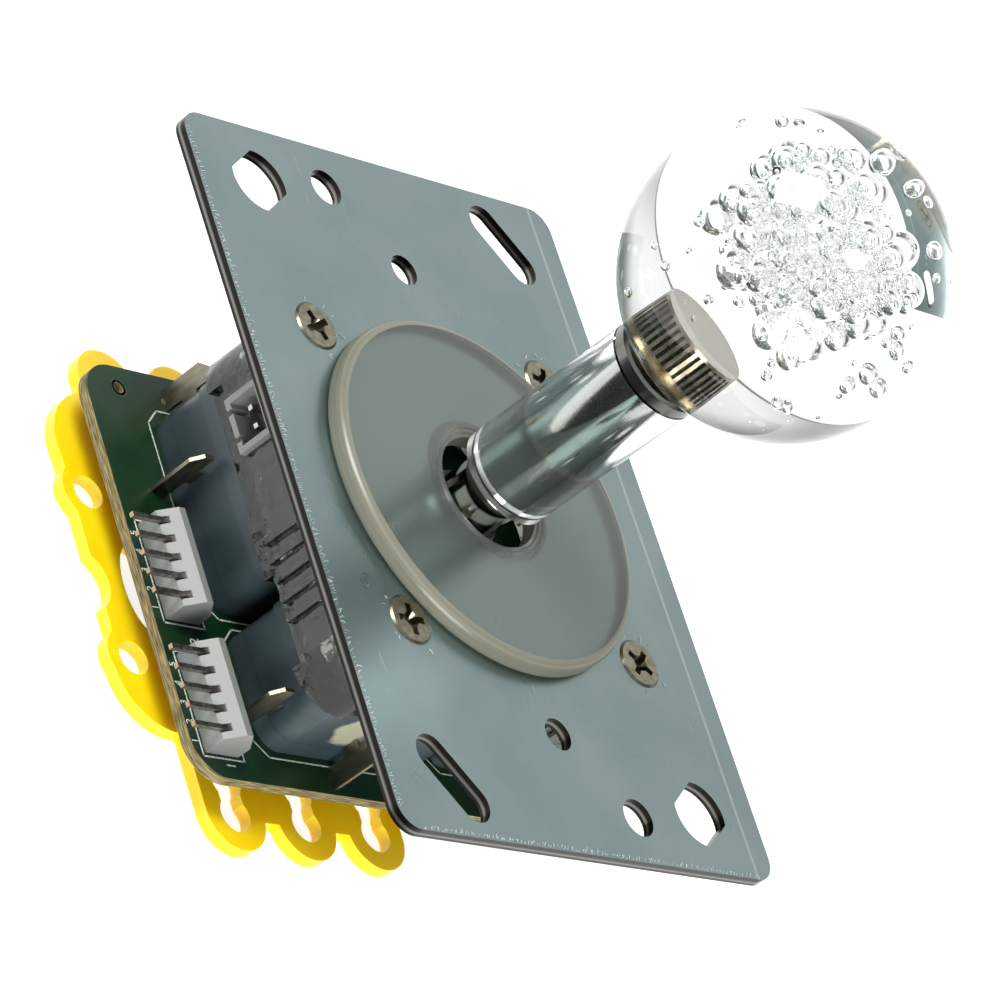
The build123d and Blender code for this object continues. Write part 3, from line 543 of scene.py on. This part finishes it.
# Distance out from the bore, depth below the top and finish of each corner of the steps round the bore
BORE_STEPS = ((1.15, 0.0, TURNED), (1.0, 0.15, CLEAR), (0.55, 0.15, TURNED), (0.4, 0.35, CLEAR),
              (0.0, 0.4, TURNED))
rim = arc(DISC_R - RIM_ROUND, DISC_T - RIM_ROUND, RIM_ROUND, 0, 90, 10, TURNED)
disc_profile = [(DISC_BORE, LIFT, CLEAR), (DISC_R - RIM_BEVEL, LIFT, TURNED), (DISC_R, RIM_BEVEL, TURNED)]
disc_profile += rim[:-1] + [(DISC_R - RIM_ROUND, DISC_T, CLEAR)]
disc_profile += [(DISC_BORE + out, DISC_T - down, which) for out, down, which in BORE_STEPS]
disc = piece_from("dust_disc_clear", turned(disc_profile, DISC_CENTRE), "dull_acrylic", "turned_acrylic",
                  crease=25)
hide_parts("dust_disc")
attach(disc, "base")


# Ball: clear sphere with its pocket and a cloud of air bubbles

BALL_R = 19.4
BALL_Z = 50.9
POCKET_R = 3.5           # inside the metal, which the resin grips without air between
POCKET_TOP = 42.7
rng = random.Random(11)
BUBBLE_MIDDLE = Vector((1.4, 0.3, BALL_Z + 2.2))
# Number, radii, spread, reach from the middle and spacing of each size of bubble
BUBBLES = ((70, (1.0, 1.75), 4.4, 8.8, 0.82),
           (50, (0.5, 0.95), 5.5, 11.0, 0.8),
           (60, (0.2, 0.6), 9.0, 17.0, 1.0))
BUBBLE_TRIES = 6000
SKIN = 0.5               # resin left between a bubble and the ball's surface
ROUND_METAL = 1.5        # resin left between a bubble and the insert
FINE_BUBBLE = 1.1        # radius from which a bubble gets a finer mesh
# Line inside the ball along which the insert is seen, kept clear of all but small bubbles
SIGHT_FROM = Vector((-16.5, -9.2, 46.5))
SIGHT_TO = Vector((0.0, 0.0, 41.9))
SIGHT_WIDTH = 4.6
SIGHT_END_X = 3
SMALL_BUBBLE = 0.65


def ball_body():
    """Sphere open at its foot for the insert, whose pocket closes on the metal."""
    start = math.degrees(-math.acos(POCKET_R / BALL_R))
    return turned([(0, POCKET_TOP, 0), (POCKET_R, POCKET_TOP, 0)] + arc(0, BALL_Z, BALL_R, start, 89, 150, 0)
                  + [(0, BALL_Z + BALL_R, 0)], segments=256)


def bubble(bm, centre, radius, squeeze):
    """Air bubble whose skin faces inwards, away from the clear resin."""
    angle = rng.uniform(0, math.pi)
    turn = Matrix.Rotation(angle, 4, Vector((rng.random(), rng.random(), rng.random() + 0.1)))
    shape = Matrix.Translation(centre) @ turn @ Matrix.Diagonal((radius, radius, radius * squeeze, 1))
    fine = 4 if radius > FINE_BUBBLE * MM else 3
    made = bmesh.ops.create_icosphere(bm, subdivisions=fine, radius=1.0, matrix=shape)
    faces = {f for v in made["verts"] for f in v.link_faces}
    bmesh.ops.reverse_faces(bm, faces=list(faces))


def bubble_places():
    """Centres and radii of the bubbles: large ones crowded in the middle, small ones spread to the skin."""
    placed = []
    along = (SIGHT_TO - SIGHT_FROM).normalized()
    for count, radii, spread, reach, gap in BUBBLES:
        want = len(placed) + count
        for _ in range(BUBBLE_TRIES):
            if len(placed) == want:
                break
            centre = BUBBLE_MIDDLE + Vector([rng.gauss(0, spread) for _ in range(3)])
            radius = rng.uniform(*radii)
            from_ball = (centre - Vector((0, 0, BALL_Z))).length
            from_axis = math.hypot(centre.x, centre.y)
            deep = from_ball + radius < BALL_R - SKIN and (centre - BUBBLE_MIDDLE).length < reach
            above = centre.z - radius > POCKET_TOP + ROUND_METAL
            beside = from_axis > POCKET_R + radius + ROUND_METAL
            near_sight = (centre - SIGHT_FROM).cross(along).length < SIGHT_WIDTH + radius
            before = radius > SMALL_BUBBLE and near_sight and centre.x < SIGHT_END_X
            clear = all((centre - c).length > gap * (radius + r) for c, r in placed)
            if deep and (above or beside) and clear and not before:
                placed.append((centre, radius))
    return placed


ball_mesh = ball_body()
for centre, radius in bubble_places():
    bubble(ball_mesh, centre * MM, radius * MM, rng.uniform(0.8, 1.0))
ball = piece_from("ball_top_clear", ball_mesh, "clear_acrylic", crease=40)
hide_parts("ball_top")
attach(ball, "lever")


# Silkscreen on the switch board: outlines of what stands on it, and plain numbers

BOARD_TOP = -25.5
INK = 0.03               # thickness of the ink
CASE_GAP = 0.7           # from a switch case to the line round it
CASE_CUT = 2.0
HEADER_CENTRES = (-1.0, -18.8)
HEADER_X = (-32.3, -25.6)
HEADER_HALF = 7.0
PIN_PITCH = 2.54
PIN_NUMBER_X = -33.0
TEST_HOLE = (-28.1, 25.3)
TEST_RING_R = 0.95
LARGE_NUMBERS = (("2", -10.0), ("1", -26.6))
LARGE_NUMBER_X = -28.0


def ink_line(bm, points, width=0.22):
    """Flat line of ink along points on the board, in millimetres."""
    for (ax, ay), (bx, by) in zip(points, points[1:]):
        along = Vector((bx - ax, by - ay, 0)).normalized()
        aside = Vector((-along.y, along.x, 0)) * width / 2
        a = Vector((ax, ay, BOARD_TOP + INK)) - along * width / 2
        b = Vector((bx, by, BOARD_TOP + INK)) + along * width / 2
        bm.faces.new([bm.verts.new(v * MM) for v in (a - aside, b - aside, b + aside, a + aside)])


def cut_outline(low_x, high_x, low_y, high_y, cut):
    """Closed outline with its corners cut off."""
    return [(low_x + cut, low_y), (high_x - cut, low_y), (high_x, low_y + cut), (high_x, high_y - cut),
            (high_x - cut, high_y), (low_x + cut, high_y), (low_x, high_y - cut), (low_x, low_y + cut),
            (low_x + cut, low_y)]


def turned_points(points, turn):
    """Outline turned by quarter turns round the lever."""
    for _ in range(turn):
        points = [(-y, x) for x, y in points]
    return points


def ink_number(text, x, y, size, angle):
    """Plain number as a flat mesh piece on the board."""
    letters = bpy.data.curves.new("number", "FONT")
    letters.body = text
    letters.size = size * MM
    letters.align_x = "CENTER"
    letters.align_y = "CENTER"
    flat = bpy.data.objects.new("number", letters)
    bpy.context.scene.collection.objects.link(flat)
    flat.location = (x * MM, y * MM, (BOARD_TOP + INK) * MM)
    flat.rotation_euler = (0, 0, math.radians(angle))
    bpy.context.view_layer.update()
    mesh = bpy.data.meshes.new_from_object(flat.evaluated_get(bpy.context.evaluated_depsgraph_get()))
    mesh.transform(flat.matrix_world)
    bpy.data.objects.remove(flat)
    return mesh


screen = bmesh.new()
low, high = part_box("switch_case_left")
outline = cut_outline(low.x / MM - CASE_GAP, high.x / MM + CASE_GAP, low.y / MM - CASE_GAP,
                      high.y / MM + CASE_GAP, CASE_CUT)
for quarter in range(4):
    ink_line(screen, turned_points(outline, quarter))
for middle in HEADER_CENTRES:
    ink_line(screen, cut_outline(*HEADER_X, middle - HEADER_HALF, middle + HEADER_HALF, 0.01))
    for i in range(5):
        screen.from_mesh(ink_number(str(i + 1), PIN_NUMBER_X, middle + (i - 2) * PIN_PITCH, 1.5, 90))
hole_ring = [(TEST_HOLE[0] + TEST_RING_R * math.cos(math.tau * i / 24),
              TEST_HOLE[1] + TEST_RING_R * math.sin(math.tau * i / 24)) for i in range(25)]
ink_line(screen, hole_ring, 0.4)
for number, y in LARGE_NUMBERS:
    screen.from_mesh(ink_number(number, LARGE_NUMBER_X, y, 2.2, 90))
ink = piece_from("board_silkscreen", screen, "silkscreen_ink")
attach(ink, "base")


# Torn film: a fringe of short strands along the plate's left and front edges, and a few round the screws

LEFT_FRINGE = (230, -32.9, 46)       # number of strands, the edge's x, half its length
FRONT_FRINGE = (120, -48.4, 30)      # number of strands, the edge's y, half its length
SCREW_PLACES = [(x, y) for x in (-20.4, 20.4) for y in (-20.1, 20.1)]
STRANDS_A_SCREW = 8
UNDER = 0.02             # height of a strand's ends over the plate
DISC_REACH = 25.0        # the disc hides what lies nearer to its centre


def strand(bm, points, radius):
    """Thin three-sided strand through points in millimetres, pinched at both ends."""
    rings = []
    for k, point in enumerate(points):
        ahead = points[min(k + 1, len(points) - 1)] - points[max(k - 1, 0)]
        aside = ahead.cross(Vector((0, 0, 1))).normalized()
        slim = radius * (0.35 if k in (0, len(points) - 1) else 1.0)
        rings.append([bm.verts.new((point + aside * slim * c + Vector((0, 0, slim * s + slim))) * MM)
                      for c, s in ((1, -0.6), (-1, -0.6), (0, 1))])
    for a, b in zip(rings, rings[1:]):
        for i in range(3):
            bm.faces.new((a[i], a[(i + 1) % 3], b[(i + 1) % 3], b[i]))


def curl(start, heading, length, bend, steps=7):
    """Points of a strand that leaves its start and bends steadily, lying on the plate."""
    x, y = start
    points = [Vector((x, y, UNDER))]
    for i in range(steps):
        heading += bend / steps
        x += length / steps * math.cos(heading)
        y += length / steps * math.sin(heading)
        points.append(Vector((x, y, UNDER + 0.12 * math.sin(math.pi * i / steps))))
    return points


film = bmesh.new()
count, edge, half = LEFT_FRINGE
for i in range(count):
    y = -half + 2 * half * (i + rng.random()) / count
    strand(film, curl((edge + abs(rng.gauss(0, 0.15)), y), rng.gauss(0.25, 0.3), rng.uniform(0.15, 0.9),
                      rng.uniform(-0.7, 0.7)), rng.uniform(0.015, 0.04))
count, edge, half = FRONT_FRINGE
for i in range(count):
    x = -half + 2 * half * (i + rng.random()) / count
    strand(film, curl((x, edge + abs(rng.gauss(0, 0.12))), rng.gauss(1.4, 0.3), rng.uniform(0.12, 0.6),
                      rng.uniform(-0.6, 0.6)), rng.uniform(0.015, 0.035))
for x, y in SCREW_PLACES:
    for _ in range(STRANDS_A_SCREW):
        a = rng.uniform(0, math.tau)
        out = rng.uniform(3.45, 4.0)
        start = (x + out * math.cos(a), y + out * math.sin(a))
        if math.hypot(start[0] - DISC_CENTRE[0], start[1] - DISC_CENTRE[1]) > DISC_REACH:
            strand(film, curl(start, a + rng.uniform(-0.6, 0.6), rng.uniform(0.4, 1.3),
                              rng.uniform(-0.8, 0.8), 5), rng.uniform(0.02, 0.045))
frays = piece_from("film_frays", film, "torn_film")
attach(frays, "base")


# Stage

FLOOR_SIDE = 8           # metres
floor_mesh = bmesh.new()
bmesh.ops.create_grid(floor_mesh, x_segments=1, y_segments=1, size=0.5)
floor = piece_from("floor", floor_mesh, "white_floor")
floor.scale = (FLOOR_SIDE, FLOOR_SIDE, 1)
floor.location = (0, 0, FLOOR_Z)

# Flag: a ring sector on the floor towards the camera, seen only in the chrome and the ball
FLAG_MIDDLE = 210.6      # azimuth in degrees
FLAG_SWING = (-56, 144)  # first edge from the middle, and width, in degrees
FLAG_NEAR = 0.083
FLAG_FAR = 0.27
flag_mesh = bmesh.new()
sector = []
for i in range(37):
    swing = math.radians(FLAG_SWING[0] + FLAG_SWING[1] * i / 36)
    near = FLAG_NEAR + 0.020 * (swing / 0.84) ** 2
    angle = math.radians(FLAG_MIDDLE) + swing
    sector.append([flag_mesh.verts.new((reach * math.cos(angle), reach * math.sin(angle), FLOOR_Z + 0.002))
                   for reach in (near, FLAG_FAR)])
for a, b in zip(sector, sector[1:]):
    flag_mesh.faces.new((a[0], b[0], b[1], a[1]))
flag = piece_from("flag", flag_mesh, "black_flag")
flag.visible_camera = False
flag.visible_shadow = False
flag.visible_diffuse = False

world = bpy.data.worlds.new("studio")
bpy.context.scene.world = world
world.use_nodes = True
sky = world.node_tree
# Grey room with one large white panel, which the plate mirrors, a dark side at the camera's right and a
# grey rear wall
PANEL = (0.70, 0.36, 0.62)
DARK_SIDE = (0.6652, -0.2850, 0.6901)
REAR = (-0.149, 0.855, 0.497)
towards = add(sky, "TexCoord").outputs["Generated"]
panel = add(sky, "VectorMath", {0: towards, 1: PANEL}, operation="DOT_PRODUCT")
white = add(sky, "MapRange", {"Value": panel.outputs["Value"], "From Min": 0.45, "From Max": 0.8,
                              "To Min": 0.42, "To Max": 0.98}, interpolation_type="SMOOTHSTEP")
right = add(sky, "VectorMath", {0: towards, 1: DARK_SIDE}, operation="DOT_PRODUCT")
shade = add(sky, "MapRange", {"Value": right.outputs["Value"], "From Min": 0.82, "From Max": 0.95,
                              "To Min": 1.0, "To Max": 0.15}, interpolation_type="SMOOTHSTEP")
behind = add(sky, "VectorMath", {0: towards, 1: REAR}, operation="DOT_PRODUCT")
dusk = add(sky, "MapRange", {"Value": behind.outputs["Value"], "From Min": 0.72, "From Max": 0.94,
                             "To Min": 1.0, "To Max": 0.35}, interpolation_type="SMOOTHSTEP")
shaded = add(sky, "Math", {0: white.outputs[0], 1: shade.outputs[0]}, operation="MULTIPLY")
light = add(sky, "Math", {0: shaded.outputs[0], 1: dusk.outputs[0]}, operation="MULTIPLY")
sky.links.new(light.outputs[0], sky.nodes["Background"].inputs["Strength"])
sky.nodes["Background"].inputs["Color"].default_value = (1.0, 1.0, 1.0, 1.0)


def soft_box(name, position, target, size, power):
    """Square area light aimed at a point."""
    data = bpy.data.lights.new(name, "AREA")
    data.shape = "SQUARE"
    data.size = size
    data.energy = power
    made = bpy.data.objects.new(name, data)
    bpy.context.scene.collection.objects.link(made)
    made.location = position
    made.rotation_euler = (Vector(target) - Vector(position)).to_track_quat("-Z", "Y").to_euler()
    return made


soft_box("key", (-0.5, 0.5, 0.9), (0, 0, 0.01), 0.5, 13)
soft_box("low", (-0.28, -0.65, 0.12), (-0.03, 0, -0.03), 0.4, 5)

# Camera at the photograph's viewing angle
CAMERA_PLACE = (-437.173, -260.785, 317.268)
CAMERA_AXES = ((0.6652, -0.2850, 0.6901), (-0.1489, 0.8551, 0.4966), (-0.7317, -0.4330, 0.5264))
camera_data = bpy.data.cameras.new("camera")
camera_data.lens = 180.36
camera_data.sensor_width = 36
camera_data.clip_start = 0.01
camera = bpy.data.objects.new("camera", camera_data)
bpy.context.scene.collection.objects.link(camera)
axes = Matrix(CAMERA_AXES).transposed()
camera.matrix_world = Matrix.Translation(Vector(CAMERA_PLACE) * MM) @ axes.to_4x4()
bpy.context.scene.camera = camera

bpy.context.scene.view_settings.view_transform = "Standard"
